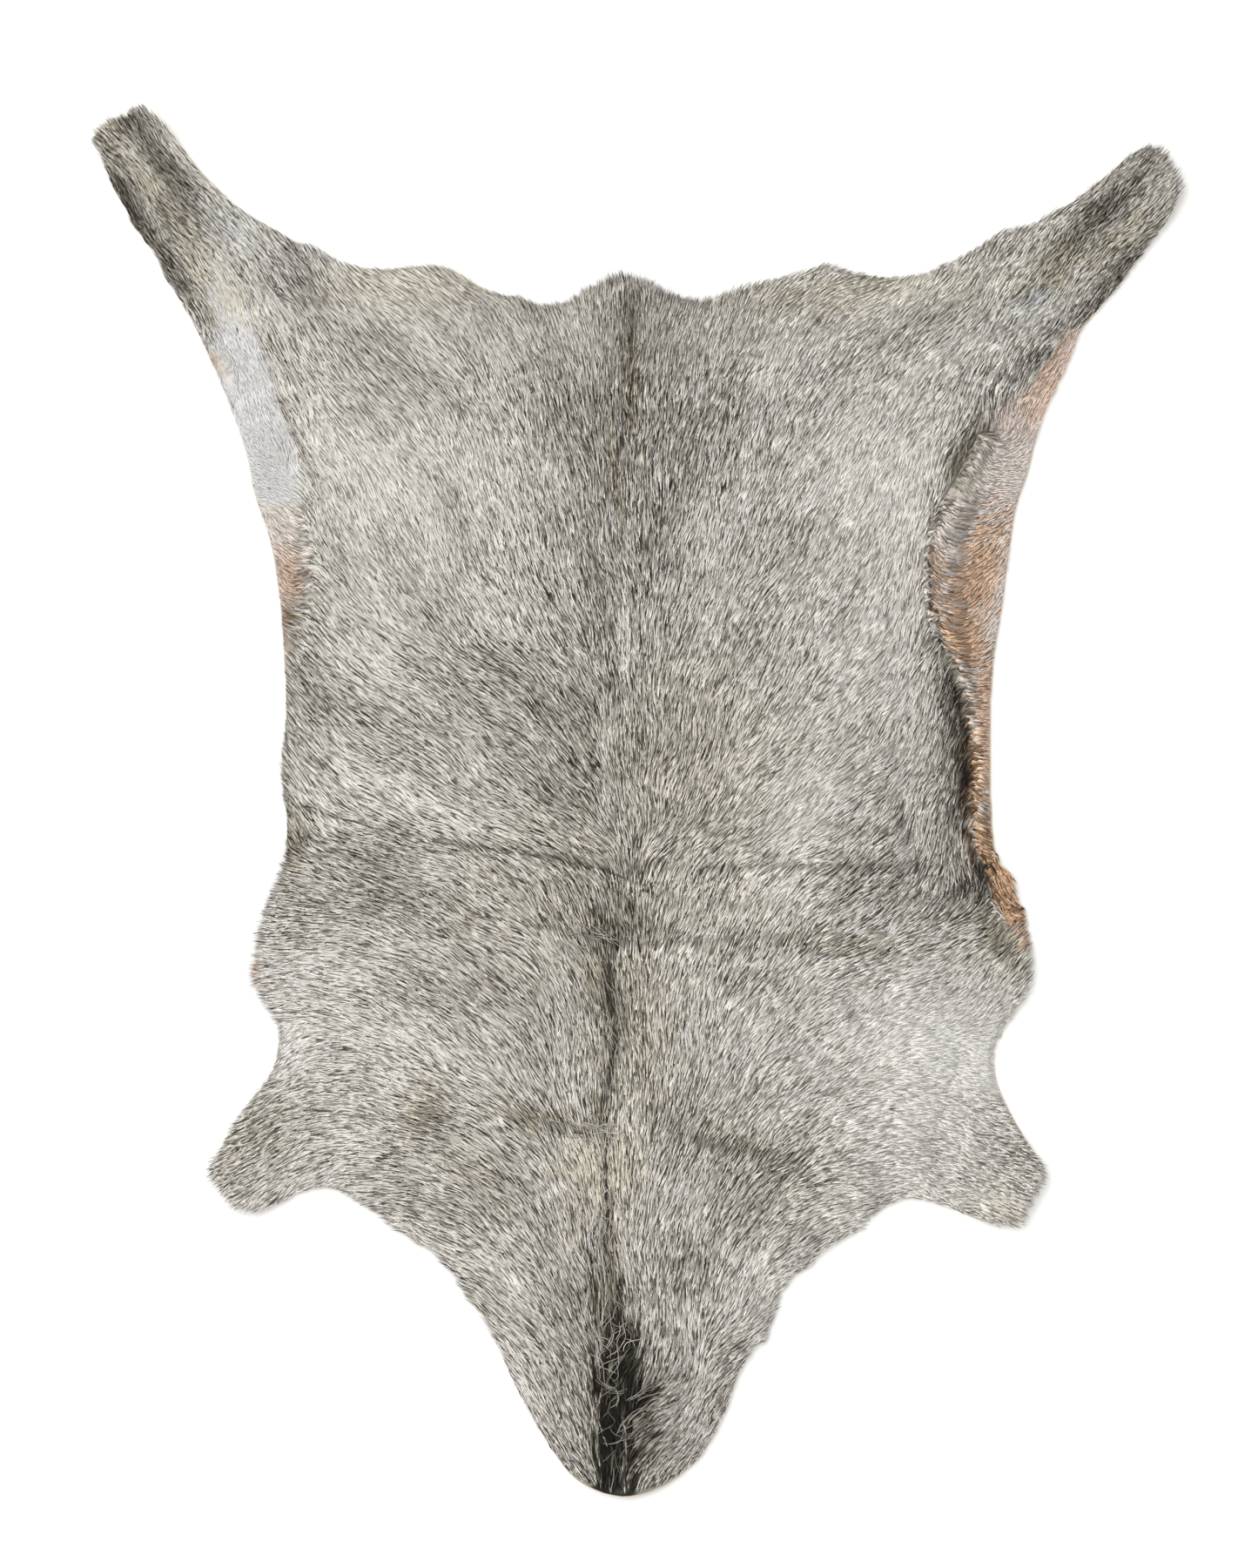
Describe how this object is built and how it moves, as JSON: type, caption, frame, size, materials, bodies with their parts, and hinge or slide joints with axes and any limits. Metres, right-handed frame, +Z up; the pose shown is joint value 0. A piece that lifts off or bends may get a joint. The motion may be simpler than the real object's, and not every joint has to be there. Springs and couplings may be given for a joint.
{
  "type": "goatskin",
  "caption": "Whole goatskin with its grizzled grey hair on, laid flat hair side up, with a rounded neck, leg flaps and a tail stub.",
  "frame": {"origin": "middle of the hide's underside, on the ground it lies on", "axes": "+Y from neck to tail, +X towards the right edge seen from above with the tail at the top, +Z up out of the coat"},
  "size_m": [0.7832, 0.9986, 0.0117],
  "materials": {
    "hair_on_hide": "dull grizzled grey hair on a suede skin"
  },
  "bodies": {
    "root": {"hide": "hair_on_hide"}
  },
  "joints": []
}
